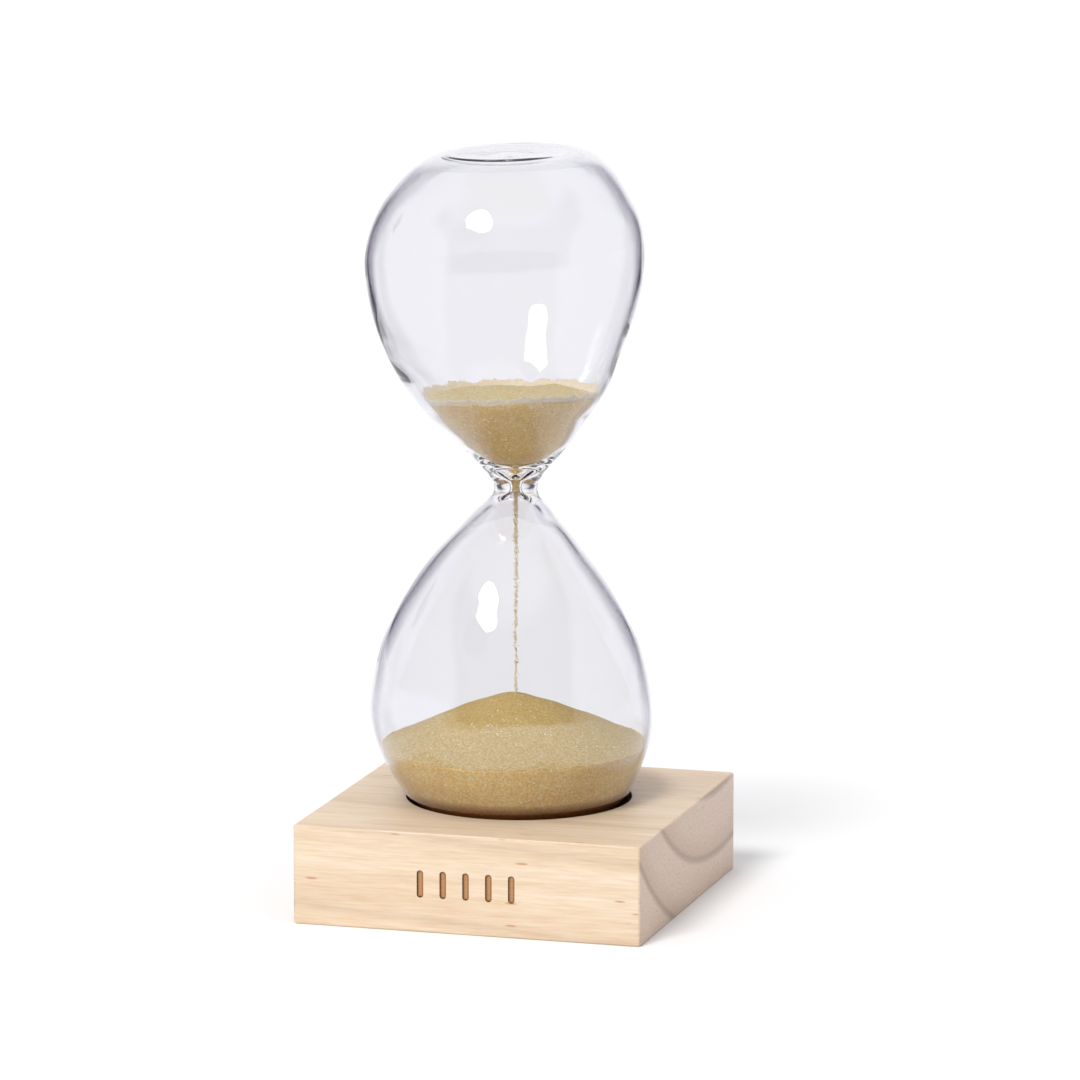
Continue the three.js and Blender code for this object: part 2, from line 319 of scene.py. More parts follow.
def sanded_wood():
    """Pale close-grained hardwood, sawn along the grain and sanded, with no varnish: creamy long
    grain with soft streaks and small orange flecks, and duller, greyer end grain with ring lines."""
    material, tree, shader = new_material("sanded_pale_wood")
    coordinates = add(tree, "ShaderNodeTexCoord")
    place = coordinates.outputs["Object"]

    # slow warping of the rings
    in_warps = add(tree, "ShaderNodeMapping", (),
                   {"Vector": place, "Scale": scale_for(WARP_PATTERN)})
    warp = add(tree, "ShaderNodeTexNoise", (),
               {"Vector": in_warps.outputs[0], "Scale": 1.0, "Detail": 1.0})
    centred = add(tree, "ShaderNodeVectorMath", {"operation": "SUBTRACT"},
                  {0: warp.outputs["Color"], 1: (0.5, 0.5, 0.5)})
    pushed = add(tree, "ShaderNodeVectorMath", {"operation": "SCALE"},
                 {0: centred.outputs[0], "Scale": WARP_DEPTH})
    warped = add(tree, "ShaderNodeVectorMath", {"operation": "ADD"}, {0: place, 1: pushed.outputs[0]})
    axes = add(tree, "ShaderNodeSeparateXYZ", (), {0: warped.outputs[0]})
    fall = add(tree, "ShaderNodeMath", {"operation": "MULTIPLY_ADD"},
               {0: axes.outputs["X"], 1: HEART_SLOPE, 2: -HEART_Z - block_high.x * HEART_SLOPE})
    height = add(tree, "ShaderNodeMath", {"operation": "ADD"},
                 {0: axes.outputs["Z"], 1: fall.outputs[0]})
    behind = add(tree, "ShaderNodeMath", {"operation": "SUBTRACT"},
                 {0: axes.outputs["Y"], 1: HEART_Y})
    spoke = add(tree, "ShaderNodeCombineXYZ", (), {1: behind.outputs[0], 2: height.outputs[0]})
    radius = add(tree, "ShaderNodeVectorMath", {"operation": "LENGTH"}, {0: spoke.outputs[0]})
    turns = add(tree, "ShaderNodeMath", {"operation": "MULTIPLY_ADD"},
                {0: radius.outputs["Value"], 1: 1 / RING_SPACING, 2: -RING_PHASE / RING_SPACING})
    ring = add(tree, "ShaderNodeMath", {"operation": "FRACT"}, {0: turns.outputs[0]})

    # fibres: fine noise drawn out along X, so it is streaks on the sides and specks on the ends
    in_fibres = add(tree, "ShaderNodeMapping", (),
                    {"Vector": place, "Scale": scale_for(FIBRE_PATTERN)})
    fibre = add(tree, "ShaderNodeTexNoise", (),
                {"Vector": in_fibres.outputs[0], "Scale": 1.0, "Detail": 4.0, "Roughness": 0.65})
    in_streaks = add(tree, "ShaderNodeMapping", (),
                     {"Vector": warped.outputs[0], "Scale": scale_for(STREAK_PATTERN)})
    streak = add(tree, "ShaderNodeTexNoise", (),
                 {"Vector": in_streaks.outputs[0], "Scale": 1.0, "Detail": 3.0, "Roughness": 0.6})

    ring_shade = add(tree, "ShaderNodeValToRGB", (), {"Fac": ring.outputs[0]},
                     [(0.0, "#b3a49b"), (0.05, "#d3c8bf"), (0.11, "#ffffff"),
                      (0.6, "#fbf8f4"), (0.93, "#e6dbd0"), (1.0, "#b3a49b")])
    long_body = add(tree, "ShaderNodeValToRGB", (), {"Fac": streak.outputs["Fac"]},
                    [(0.3, "#ddc7aa"), (0.5, "#e3ceb4"), (0.72, "#e8d8c2")])
    end_body = add(tree, "ShaderNodeValToRGB", (), {"Fac": fibre.outputs["Fac"]},
                   [(0.3, "#c7ad9a"), (0.55, "#dac3b1"), (0.75, "#e5d3c3")])

    # the fine hair of the fibres and a trace of the rings on the sides, clear rings on the ends
    hair = add(tree, "ShaderNodeValToRGB", (), {"Fac": fibre.outputs["Fac"]},
               [(0.32, "#ead9c2"), (0.6, "#ffffff")])
    combed = add(tree, "ShaderNodeMix", TIMES,
                 {0: 0.6, 6: long_body.outputs["Color"], 7: hair.outputs["Color"]})
    ring_long = add(tree, "ShaderNodeMix", TIMES,
                    {0: 0.22, 6: combed.outputs[2], 7: ring_shade.outputs["Color"]})
    ring_end = add(tree, "ShaderNodeMix", TIMES,
                   {0: 0.75, 6: end_body.outputs["Color"], 7: ring_shade.outputs["Color"]})
    facing = add(tree, "ShaderNodeSeparateXYZ", (), {0: coordinates.outputs["Normal"]})
    endness = add(tree, "ShaderNodeMath", {"operation": "ABSOLUTE"}, {0: facing.outputs["X"]})
    end_mask = add(tree, "ShaderNodeMapRange", CLAMPED,
                   {"Value": endness.outputs[0], "From Min": 0.35, "From Max": 0.9})
    both = add(tree, "ShaderNodeMix", COLOUR,
               {0: end_mask.outputs[0], 6: ring_long.outputs[2], 7: ring_end.outputs[2]})

    # small orange flecks, about 2 mm long, along the grain
    in_flecks = add(tree, "ShaderNodeMapping", (),
                    {"Vector": place, "Scale": scale_for(FLECK_PATTERN)})
    fleck_cells = add(tree, "ShaderNodeTexVoronoi", (),
                      {"Vector": in_flecks.outputs[0], "Scale": 1.0})
    fleck_edge = add(tree, "ShaderNodeMapRange", CLAMPED,
                     {"Value": fleck_cells.outputs["Distance"], "From Min": 0.07, "From Max": 0.13,
                      "To Min": 1.0, "To Max": 0.0})
    fleck_choice = add(tree, "ShaderNodeSeparateColor", (), {0: fleck_cells.outputs["Color"]})
    some = add(tree, "ShaderNodeMath", {"operation": "GREATER_THAN"},
               {0: fleck_choice.outputs["Red"], 1: 0.35})
    fleck = add(tree, "ShaderNodeMath", {"operation": "MULTIPLY"},
                {0: fleck_edge.outputs[0], 1: some.outputs[0]})
    fleck_soft = add(tree, "ShaderNodeMath", {"operation": "MULTIPLY"}, {0: fleck.outputs[0], 1: 0.7})
    colour = add(tree, "ShaderNodeMix", COLOUR,
                 {0: fleck_soft.outputs[0], 6: both.outputs[2], 7: linear("#b9794a")})
    tree.links.new(colour.outputs[2], shader.inputs["Base Color"])

    bump = add(tree, "ShaderNodeBump", (),
               {"Strength": 0.25, "Distance": 0.05 * MM, "Height": fibre.outputs["Fac"]})
    tree.links.new(bump.outputs["Normal"], shader.inputs["Normal"])
    shader.inputs["Roughness"].default_value = 0.45
    shader.inputs["Specular IOR Level"].default_value = 0.6
    return material


RECESS_STREAKS = (4.55 * MM, 4.55 * MM, 0.385 * MM)


def burnt_recess():
    """Wood scorched dark brown by the boring tool, with fine streaks round the wall."""
    material, tree, shader = new_material("scorched_recess")
    place = add(tree, "ShaderNodeTexCoord").outputs["Object"]
    in_streaks = add(tree, "ShaderNodeMapping", (),
                     {"Vector": place, "Scale": scale_for(RECESS_STREAKS)})
    streaks = add(tree, "ShaderNodeTexNoise", (),
                  {"Vector": in_streaks.outputs[0], "Scale": 1.0, "Detail": 3.0})
    colour = add(tree, "ShaderNodeValToRGB", (), {"Fac": streaks.outputs["Fac"]},
                 [(0.3, "#86572f"), (0.55, "#a8734a"), (0.75, "#c08d60")])
    tree.links.new(colour.outputs["Color"], shader.inputs["Base Color"])
    shader.inputs["Roughness"].default_value = 0.7
    return material


MARK_COUNT = 5
MARK_PITCH = 4.6 * MM
MARK_WIDTH = 1.3 * MM
MARK_HEIGHT = 5.4 * MM
MARK_DEPTH = 0.35 * MM
MARK_MIDDLE_Z = 9.6 * MM
BEAM_SWEEPS = (2 * MM, 2 * MM, 0.192 * MM)


def burnt_strokes():
    """Strokes engraved by laser: toffee brown where the beam swept, darker along their outlines."""
    material, tree, shader = new_material("laser_burnt_strokes")
    place = add(tree, "ShaderNodeTexCoord").outputs["Object"]
    axes = add(tree, "ShaderNodeSeparateXYZ", (), {0: place})
    to_mark = add(tree, "ShaderNodeMath", {"operation": "PINGPONG"},
                  {0: axes.outputs["X"], 1: MARK_PITCH / 2})
    up = add(tree, "ShaderNodeMath", {"operation": "SUBTRACT"},
             {0: axes.outputs["Z"], 1: MARK_MIDDLE_Z})
    up = add(tree, "ShaderNodeMath", {"operation": "ABSOLUTE"}, {0: up.outputs[0]})
    across = add(tree, "ShaderNodeMath", {"operation": "DIVIDE"},
                 {0: to_mark.outputs[0], 1: MARK_WIDTH / 2})
    end = add(tree, "ShaderNodeMath", {"operation": "MULTIPLY_ADD"},
              {0: up.outputs[0], 1: 2 / MARK_WIDTH, 2: 1 - MARK_HEIGHT / MARK_WIDTH})
    edge = add(tree, "ShaderNodeMath", {"operation": "MAXIMUM"},
               {0: across.outputs[0], 1: end.outputs[0]})
    in_sweeps = add(tree, "ShaderNodeMapping", (),
                    {"Vector": place, "Scale": scale_for(BEAM_SWEEPS)})
    sweep = add(tree, "ShaderNodeTexNoise", (),
                {"Vector": in_sweeps.outputs[0], "Scale": 1.0, "Detail": 2.0})
    ragged = add(tree, "ShaderNodeMath", {"operation": "MULTIPLY_ADD"},
                 {0: sweep.outputs["Fac"], 1: 0.5, 2: -0.25})
    burn = add(tree, "ShaderNodeMath", {"operation": "ADD"},
               {0: edge.outputs[0], 1: ragged.outputs[0]})
    colour = add(tree, "ShaderNodeValToRGB", (), {"Fac": burn.outputs[0]},
                 [(0.0, "#b98d62"), (0.5, "#ac7d52"), (0.78, "#7d5130"), (1.0, "#5d3a20")])
    tree.links.new(colour.outputs["Color"], shader.inputs["Base Color"])
    shader.inputs["Roughness"].default_value = 0.8
    return material


glass_material = soda_lime_glass()
# each sand's dark, middle and light grains, and how strongly the grains stand out
sand_material = golden_sand("dyed_quartz_sand", "#d9ba7d", "#e8cb8d", "#f3dda7", 0.25)
pressed_material = golden_sand("sand_against_glass", "#ebc279", "#fad489", "#ffe9ac", 0.12)
# the top of the sand left above: a lighter copy of the sand, painted light for a level top that the lamps
# reach only at a glancing angle
painted_lighter_level_material = golden_sand("level_sand_painted_lighter", "#e9ca84", "#fde098", "#fff2c4", 0.3)
stream_material = golden_sand("falling_sand", "#f9e0b0", "#ffedc6", "#fff6df", 0.0)
dust_material = golden_sand("pale_sand_dust", "#fbe8c6", "#fff1d6", "#fff8e8", 0.0)
wood_material = sanded_wood()
recess_material = burnt_recess()
mark_material = burnt_strokes()


# ---- the wooden block ----

def cut(piece, cutter):
    """Cuts one mesh from another; the cutter's faces keep their own material."""
    select_only(piece)
    modifier = piece.modifiers.new("cut", "BOOLEAN")
    modifier.operation = "DIFFERENCE"
    modifier.solver = "EXACT"
    modifier.material_mode = "TRANSFER"
    modifier.object = cutter
    bpy.ops.object.modifier_apply(modifier=modifier.name)
    bpy.data.objects.remove(cutter)


def box_piece(name, low, high):
    deselect()
    bpy.ops.mesh.primitive_cube_add(size=1, location=(low + high) / 2)
    piece = bpy.context.object
    piece.name = name
    piece.scale = high - low
    bpy.ops.object.transform_apply(location=True, rotation=False, scale=True)
    return piece


def bevel_edges(piece, width, segments, wanted):
    """Rounds the edges for which wanted(first end, second end) holds."""
    select_only(piece)
    bpy.ops.object.mode_set(mode="EDIT")
    bpy.ops.mesh.select_mode(type="EDGE")
    bpy.ops.mesh.select_all(action="DESELECT")
    bpy.ops.object.mode_set(mode="OBJECT")
    ends = piece.data.vertices
    for edge in piece.data.edges:
        edge.select = wanted(ends[edge.vertices[0]].co, ends[edge.vertices[1]].co)
    bpy.ops.object.mode_set(mode="EDIT")
    bpy.ops.mesh.bevel(offset=width, segments=segments, affect="EDGES")
    bpy.ops.object.mode_set(mode="OBJECT")


CORNER_ROUNDING = 0.7 * MM
EDGE_ROUNDING = 0.5 * MM
RECESS_ROUNDING = 0.4 * MM
NEAR = 0.01 * MM


def wooden_block():
    """The block with its rounded edges, the recess bored in its top and the strokes on its front."""
    block = box_piece("wooden_block", block_low, block_high)
    bevel_edges(block, CORNER_ROUNDING, 5, lambda a, b: abs(a.z - b.z) > NEAR)
    bevel_edges(block, EDGE_ROUNDING, 4, lambda a, b: abs(a.z - b.z) < NEAR)
    block.data.materials.append(wood_material)

    deselect()
    overshoot = 2 * MM
    bpy.ops.mesh.primitive_cylinder_add(
        vertices=160, radius=RECESS_RADIUS, depth=RECESS_DEPTH + overshoot,
        location=(RECESS_X, RECESS_Y, block_high.z + (overshoot - RECESS_DEPTH) / 2))
    cutter = bpy.context.object
    bpy.ops.object.transform_apply(location=True)
    bevel_edges(cutter, RECESS_ROUNDING, 3,
                lambda a, b: max(abs(a.z - recess_floor_z), abs(b.z - recess_floor_z)) < NEAR)
    cutter.data.materials.append(recess_material)
    cut(block, cutter)

    for i in range(MARK_COUNT):
        x = (i - (MARK_COUNT - 1) / 2) * MARK_PITCH
        low = Vector((x - MARK_WIDTH / 2, block_low.y - MARK_DEPTH, MARK_MIDDLE_Z - MARK_HEIGHT / 2))
        high = Vector((x + MARK_WIDTH / 2, block_low.y + MARK_DEPTH, MARK_MIDDLE_Z + MARK_HEIGHT / 2))
        stroke = box_piece("stroke", low, high)
        bevel_edges(stroke, MARK_WIDTH * 0.45, 4, lambda a, b: abs(a.y - b.y) > MARK_DEPTH)
        stroke.data.materials.append(mark_material)
        cut(block, stroke)

    select_only(block)
    bpy.ops.object.shade_smooth_by_angle(angle=math.radians(28))
    finish_piece(block, "base", "pale_wood", "base_block")


# ---- the glass vessel ----

VESSEL_SIDES = 128
# [radius, height] in mm, from the middle of the foot, out over both bulbs, to the middle of the crown
OUTSIDE = [
    [0, 15.1], [8, 15.05], [13.5, 15], [16.6, 15.4], [19, 16.8], [21.5, 19.7], [25.3, 26.5], [27.4, 33],
    [27.6, 39.5], [25.8, 48.5], [22.9, 55.5], [18.9, 62.5], [14.55, 68.5], [10.3, 73.5],
    [6.9, 77.4], [5, 79.4], [4.35, 80.6], [4.3, 81.7], [4.6, 82.9], [6, 84.9], [8.3, 87.5],
    [12, 91.5], [16.2, 96.5], [20.3, 102.5], [23.4, 109.5], [25.8, 116.5], [27.15, 123.5],
    [27.05, 129.5], [25.7, 134.8], [22.9, 139.8], [19.8, 143.8], [17.6, 145.75], [15.4, 147.05],
    [13.6, 147.55], [12, 147.65], [9.5, 147.3], [5, 147], [2, 147], [0, 147.1],
]
INSIDE = [
    [0, 15.9], [8, 15.9], [14, 15.9], [17, 16.35], [19.4, 17.85], [21.8, 20.8], [24.8, 26.7], [26.7, 33.2],
    [26.85, 39.5], [25.05, 48.5], [22.1, 55.5], [18, 62.2], [13.6, 68], [9, 73.4], [5.3, 76.9],
    [2.9, 78.9], [1.35, 80.2], [0.8, 81.4], [0.8, 83], [1.3, 84.3], [2.7, 85.2], [5.8, 86.9], [9, 89.8],
    [11.3, 92.4], [14.7, 96.5], [17.85, 100.8], [20.65, 105.7], [22.75, 110.5], [24.95, 116.5],
    [26.35, 123.5], [26.3, 129.5], [24.9, 134.6], [22.1, 139.3], [19.1, 143], [17, 144.9],
    [15, 146.05], [13.3, 146.6], [12, 146.7], [9.5, 146.4], [5, 146.15], [0, 146.1],
]
# how far the outer and the inner surface wave in and out, and from one wave to the next
OUTER_RIPPLE = 0.04 * MM
INNER_RIPPLE = 0.03 * MM
RIPPLE_LENGTH = 9 * MM
CALM_RADIUS = 6 * MM
AT_AXIS = 0.001 * MM
# The crown rises to the right, by this share of the way aside, from this height on.
CROWN_TILT = 0.04
CROWN_Z = 138 * MM
CROWN_BLEND = 9 * MM
# A slight lip runs round the front left of the crown, where the tube was sealed off.
LIP_FROM_Z = 146 * MM
LIP_MIDDLE = -28
LIP_HALF_ANGLE = 75
LIP_FADE_ANGLE = 30
LIP_HEIGHT = 0.3 * MM
LIP_RADIUS = 12.6 * MM
LIP_WIDTH = 0.7 * MM


def in_metres(outline):
    """An outline that is written in mm."""
    return [(r * MM, z * MM) for r, z in outline]


def wave(place, size, seed):
    """Smooth noise from -1 to 1, whose waves are about as long as the size."""
    return noise.noise(place / size + Vector((seed, seed, seed)))


def lay_on_axis(piece, inside, ripple):
    """Carries a turned surface to the wandering axis, and gives it the slow waves of blown glass."""
    for vertex in piece.data.vertices:
        co = vertex.co
        radius = math.hypot(co.x, co.y)
        if radius > AT_AXIS:
            out = Vector((co.x / radius, co.y / radius, 0))
            slack = held(radius / CALM_RADIUS)
            co += out * ripple * slack * wave(co, RIPPLE_LENGTH, 3 if inside else 11)
        if not inside and co.z > LIP_FROM_Z:
            turned = math.degrees(math.atan2(co.dot(LEAN), -co.dot(DEPTH))) - LIP_MIDDLE
            part = held((LIP_HALF_ANGLE - abs(turned)) / LIP_FADE_ANGLE)
            co.z += LIP_HEIGHT * part * math.exp(-((radius - LIP_RADIUS) / LIP_WIDTH) ** 2)
        co.z += CROWN_TILT * held((co.z - CROWN_Z) / CROWN_BLEND) * co.dot(LEAN)
        co += axis_at(co.z, inside)


def glass_vessel():
    """The blown glass: its outer surface and, turned inwards, its inner one, as one closed wall."""
    outside = turn_outline("glass_vessel", smooth(in_metres(OUTSIDE), 260), VESSEL_SIDES)
    lay_on_axis(outside, False, OUTER_RIPPLE)
    inside = turn_outline("vessel_inside", smooth(in_metres(INSIDE), 230), VESSEL_SIDES)
    lay_on_axis(inside, True, INNER_RIPPLE)
    select_only(inside)
    bpy.ops.object.mode_set(mode="EDIT")
    bpy.ops.mesh.select_all(action="SELECT")
    bpy.ops.mesh.flip_normals()
    bpy.ops.object.mode_set(mode="OBJECT")
    select_only(outside)
    inside.select_set(True)
    bpy.ops.object.join()
    outside.data.materials.append(glass_material)
    # clear glass would otherwise shade the block as if it were dark
    outside.visible_shadow = False
    finish_piece(outside, "glass", "clear_glass", "lower_bulb", "upper_bulb", "fill_seal")


# ---- the sand ----

SAND_CLEARANCE = 0.05 * MM
SAND_SIDES = 160
TOP_RINGS = 70
# the heap under the throat
HEAP_FOOT_Z = 16.1 * MM
HEAP_SLOPE = math.tan(math.radians(24.5))
HEAP_ROUNDING = 5.5 * MM
FRESH_REACH = 12.5 * MM
FRESH_WAVE = 2.5 * MM
FRESH_EDGE = 1.2 * MM
FOOT_SHADE_Z = 22.9 * MM
FOOT_SHADE_EDGE = 1.7 * MM
# the sand left above
ABOVE_TIP_Z = 80.9 * MM
LEVEL_RISE_TO_FRONT = 0.105
LEVEL_RISE_TO_RIGHT = 0.03
LEVEL_DIP = 0.5 * MM
LEVEL_DIP_RADIUS = 9 * MM
# [wave's length, seed, height] of the unevenness of each surface
HEAP_RIPPLES = [[5 * MM, 7, 0.25 * MM], [1.6 * MM, 2, 0.07 * MM]]
LEVEL_RIPPLES = [[6 * MM, 4, 0.3 * MM], [1.5 * MM, 9, 0.08 * MM]]
# the falling sand
STREAM_GRAINS = 1500
STREAM_TOP_SPREAD = 0.34 * MM
STREAM_LESS_SPREAD = 0.14 * MM
STREAM_SWAY = 0.45 * MM
# the dust left on the glass as the sand above sank
BAND_HEIGHT = 1.5 * MM
BAND_THICKNESS = 0.1 * MM
BAND_STEPS = 6
BAND_SIDES = 240
BAND_OVERLAP = 0.2 * MM
RAGGED_LENGTH = 2.2 * MM
GRAIN_INSET = 0.16 * MM

inside_curve = smooth(in_metres(INSIDE), 900)


def inside_radius(z):
    """The vessel's inside radius at a height."""
    last = None
    for r, height in inside_curve:
        if height >= z and last:
            t = (z - last[1]) / max(height - last[1], 1e-9)
            return last[0] + (r - last[0]) * t
        last = (r, height)
    return last[0]


def unevenness(x, y, ripples):
    """How far a sand surface rises or falls from its smooth shape."""
    place = Vector((x, y, 0))
    return sum(wave(place, length, seed) * height for length, seed, height in ripples)


def heap_height(x, y):
    """Height of the heap's surface: a cone with a rounded top, under the throat."""
    foot = axis_at(waist_z)
    away = math.hypot(x - foot.x, y - foot.y)
    rounded = math.sqrt(away ** 2 + HEAP_ROUNDING ** 2) - HEAP_ROUNDING
    rough = unevenness(x, y, HEAP_RIPPLES) * held(away / (3 * MM))
    return heap_apex_z - HEAP_SLOPE * rounded + rough


def level_height(x, y):
    """Height of the sand left above: nearly level, higher towards the front and to the right."""
    place = Vector((x, y, 0)) - axis_at(sand_level_z, True)
    slant = LEVEL_RISE_TO_RIGHT * place.dot(LEAN) - LEVEL_RISE_TO_FRONT * place.dot(DEPTH)
    dip = LEVEL_DIP * held(1 - place.length / LEVEL_DIP_RADIUS)
    return sand_level_z + slant + unevenness(x, y, LEVEL_RIPPLES) - dip


def sand_body(name, low, high, surface, rings, top_material):
    """Sand up to a free surface: its side lies against the glass, its top follows the surface."""
    heights = [low + (high - low) * i / rings for i in range(rings + 1)]
    side = [(inside_radius(z) - SAND_CLEARANCE, z) for z in heights]
    top = [(side[-1][0] * (1 - i / TOP_RINGS), high) for i in range(1, TOP_RINGS + 1)]
    piece = turn_outline(name, [(0, low)] + side + top, SAND_SIDES)
    for vertex in piece.data.vertices:
        co = vertex.co
        on_top = abs(co.z - high) < 1e-7
        share = (co.z - low) / (high - low)
        radius = math.hypot(co.x, co.y)
        if on_top:
            shift = axis_at(high, True)
            z = surface(co.x + shift.x, co.y + shift.y)
        else:
            rim = Vector((co.x, co.y, 0)).normalized() * inside_radius(high) + axis_at(high, True)
            z = low + share * (surface(rim.x, rim.y) - low) if radius > AT_AXIS else co.z
            if radius > AT_AXIS:
                scale = (inside_radius(z) - SAND_CLEARANCE) / radius
                co.x *= scale
                co.y *= scale
        co.z = z
        if on_top:
            edge = (inside_radius(z) - SAND_CLEARANCE) / side[-1][0]
            pull = 1 + (edge - 1) * (radius / side[-1][0]) ** 4
            co.x *= pull
            co.y *= pull
        co += axis_at(co.z, True)
    piece.data.materials.append(top_material)
    piece.data.materials.append(pressed_material)
    for face in piece.data.polygons:
        face.material_index = 0 if face.normal.z > 0.7 else 1
    return piece


def grain_cloud(name, places, low_size, high_size, material):
    """Many single grains as one piece: one rough pebble, turned and sized anew at every place."""
    deselect()
    bpy.ops.mesh.primitive_ico_sphere_add(subdivisions=1, radius=1, location=(0, 0, 0))
    pattern = bpy.context.object
    corners = [v.co * random.uniform(0.75, 1.15) for v in pattern.data.vertices]
    faces = [tuple(p.vertices) for p in pattern.data.polygons]
    bpy.data.objects.remove(pattern)
    vertices, polygons = [], []
    for place in places:
        size = random.uniform(low_size, high_size)
        angle = random.uniform(0, math.tau)
        turn = Matrix.Rotation(angle, 3, Vector((random.random(), random.random(), 1)).normalized())
        first = len(vertices)
        vertices += [place + turn @ (corner * size) for corner in corners]
        polygons += [tuple(first + i for i in face) for face in faces]
    mesh = bpy.data.meshes.new(name)
    mesh.from_pydata(vertices, [], polygons)
    piece = bpy.data.objects.new(name, mesh)
    bpy.context.scene.collection.objects.link(piece)
    mesh.materials.append(material)
    return piece


def ragged(rim):
    """How far up the glass the dust reaches at a place on the rim, as a share of its height."""
    return 0.75 + 0.5 * wave(rim, RAGGED_LENGTH, 6)


def fringe(count, level, surface, height):
    """Places on the glass just above the sand's edge, where fine grains cling in a ragged band."""
    places = []
    for _ in range(count):
        angle = random.uniform(0, math.tau)
        way = Vector((math.cos(angle), math.sin(angle), 0))
        rim = way * inside_radius(level) + axis_at(level, True)
        z = surface(rim.x, rim.y) + (random.random() ** 1.2 * ragged(rim) - 0.1) * height
        places.append(way * (inside_radius(z) - GRAIN_INSET) + axis_at(z, True) + Vector((0, 0, z)))
    return places


def dust_band(name, level, surface, height):
    """The finest dust, left on the glass as the level sank: a thin coat with a ragged upper edge."""
    reach = inside_radius(level)
    outer = [(reach, level + height * i / BAND_STEPS) for i in range(BAND_STEPS + 1)]
    inner = [(reach - BAND_THICKNESS, z) for _, z in reversed(outer)]
    piece = turn_outline(name, outer + inner + outer[:1], BAND_SIDES)
    for vertex in piece.data.vertices:
        co = vertex.co
        way = Vector((co.x, co.y, 0)).normalized()
        set_in = reach - math.hypot(co.x, co.y)
        rim = way * reach + axis_at(level, True)
        climb = ragged(rim) + 0.3 * wave(rim, 0.7 * MM, 3)
        z = surface(rim.x, rim.y) - BAND_OVERLAP + (co.z - level) * climb
        co.xyz = way * (inside_radius(z) - 2 * SAND_CLEARANCE - set_in) + axis_at(z, True)
        co.z = z
    piece.data.materials.append(dust_material)
    return piece


def falling_thread():
    """Places of the falling grains: close together under the throat, fewer and straighter below."""
    places = []
    top, bottom = waist_z + 0.5 * MM, heap_apex_z
    for _ in range(STREAM_GRAINS):
        share = random.random() ** 1.8
        on_axis = Vector((0, 0, top - share * (top - bottom)))
        sway = Vector((wave(on_axis, 5 * MM, 1), wave(on_axis, 5 * MM, 8), 0)) * STREAM_SWAY
        clumps = 0.7 + 0.8 * wave(on_axis, 1.1 * MM, 5)
        spread = (STREAM_TOP_SPREAD - STREAM_LESS_SPREAD * share) * clumps
        scatter = Vector((random.gauss(0, spread), random.gauss(0, spread), 0))
        places.append(axis_at(waist_z) + sway * min(2 * share, 1) + scatter + on_axis)
    return places


def freshness(corner):
    """How much the heap is sand that fell last: all of it on the cone under the throat."""
    away = corner - axis_at(waist_z)
    reach = FRESH_REACH + FRESH_WAVE * wave(corner, 14 * MM, 12) + 0.2 * abs(away.dot(LEAN))
    return (reach - math.hypot(away.x, away.y)) / FRESH_EDGE


def sand():
    """The heap, the sand left above, the falling sand, and the dust and loose grains on the glass."""
    heap = sand_body("sand_heap", HEAP_FOOT_Z, heap_edge_z, heap_height, 40, sand_material)
    paint(heap, "fresh", freshness)
    paint(heap, "shade", lambda corner: (FOOT_SHADE_Z - corner.z) / FOOT_SHADE_EDGE)
    finish_piece(heap, "glass", "gold_sand", "lower_sand")
    above = sand_body("sand_above", ABOVE_TIP_Z, sand_level_z, level_height, 60, painted_lighter_level_material)
    finish_piece(above, "glass", "gold_sand", "upper_sand")

    stream = grain_cloud("sand_thread", falling_thread(), 0.08 * MM, 0.16 * MM, stream_material)
    finish_piece(stream, "glass", "gold_sand", "sand_stream")

    film = dust_band("dust_band", sand_level_z, level_height, BAND_HEIGHT)
    finish_piece(film, "glass", "gold_sand")
    clinging = fringe(3600, sand_level_z, level_height, 1.7 * MM)
    dust = grain_cloud("clinging_grains", clinging, 0.08 * MM, 0.16 * MM, dust_material)
    finish_piece(dust, "glass", "gold_sand")
    edge = fringe(3000, heap_edge_z, heap_height, 0.45 * MM)
    strewn = grain_cloud("heap_edge_grains", edge, 0.08 * MM, 0.15 * MM, pressed_material)
    finish_piece(strewn, "glass", "gold_sand")


wooden_block()
glass_vessel()
sand()


# ---- floor, lights and camera ----

# glowing panels stand this far from a point above the block's middle
SOFTBOX_AWAY = 1.2
SOFTBOX_AIM_Z = 0.08
# A ray has passed the near wall's two surfaces before it meets the far wall.
FAR_WALL_DEPTH = 3

# the dark cards behind the glass, and where on them the dark begins and ends
CARD_AWAY = 0.2
CARD_NEAR = 0.075
CARD_WIDTH = 0.7
CARD_HEIGHT = 0.36
CARD_FOOT = 1 * MM
CARD_GAP_LEFT = 8 * MM
CARD_GAP_RIGHT = 14 * MM
CARD_FADE = 70 * MM
CARD_REACH = 200 * MM
CARD_COLOUR = "#423c50"
CARD_OUTLINE = [[z, r] for r, z in OUTSIDE if 16 < z < 124]
SOFT_RISE = 1.7
LATE_RISE = 3.2
LOWER_LEFT_SHADE = 0.5
LOWER_RIGHT_SHADE = 0.8
FOOT_FADE = [[42, 0.45], [64, 1]]

# the white tent and its dim opening towards the front, in degrees and as brightness
OPENING_AZIMUTH = 20
OPENING_HALF_WIDTH = 50
OPENING_TOP = 51
TENT_GLOW = 1.0
OPENING_GLOW = 0.3
AMBIENT = 0.45


def floor():
    """A wide sheet of white paper."""
    deselect()
    bpy.ops.mesh.primitive_circle_add(vertices=96, radius=8, fill_type="NGON", location=(0, 0, 0))
    plane = bpy.context.object
    plane.name = "floor"
    material, _, shader = new_material("white_paper_floor")
    shader.inputs["Base Color"].default_value = linear("#f4f4f4")
    shader.inputs["Roughness"].default_value = 0.9
    shader.inputs["Specular IOR Level"].default_value = 0.0
    plane.data.materials.append(material)


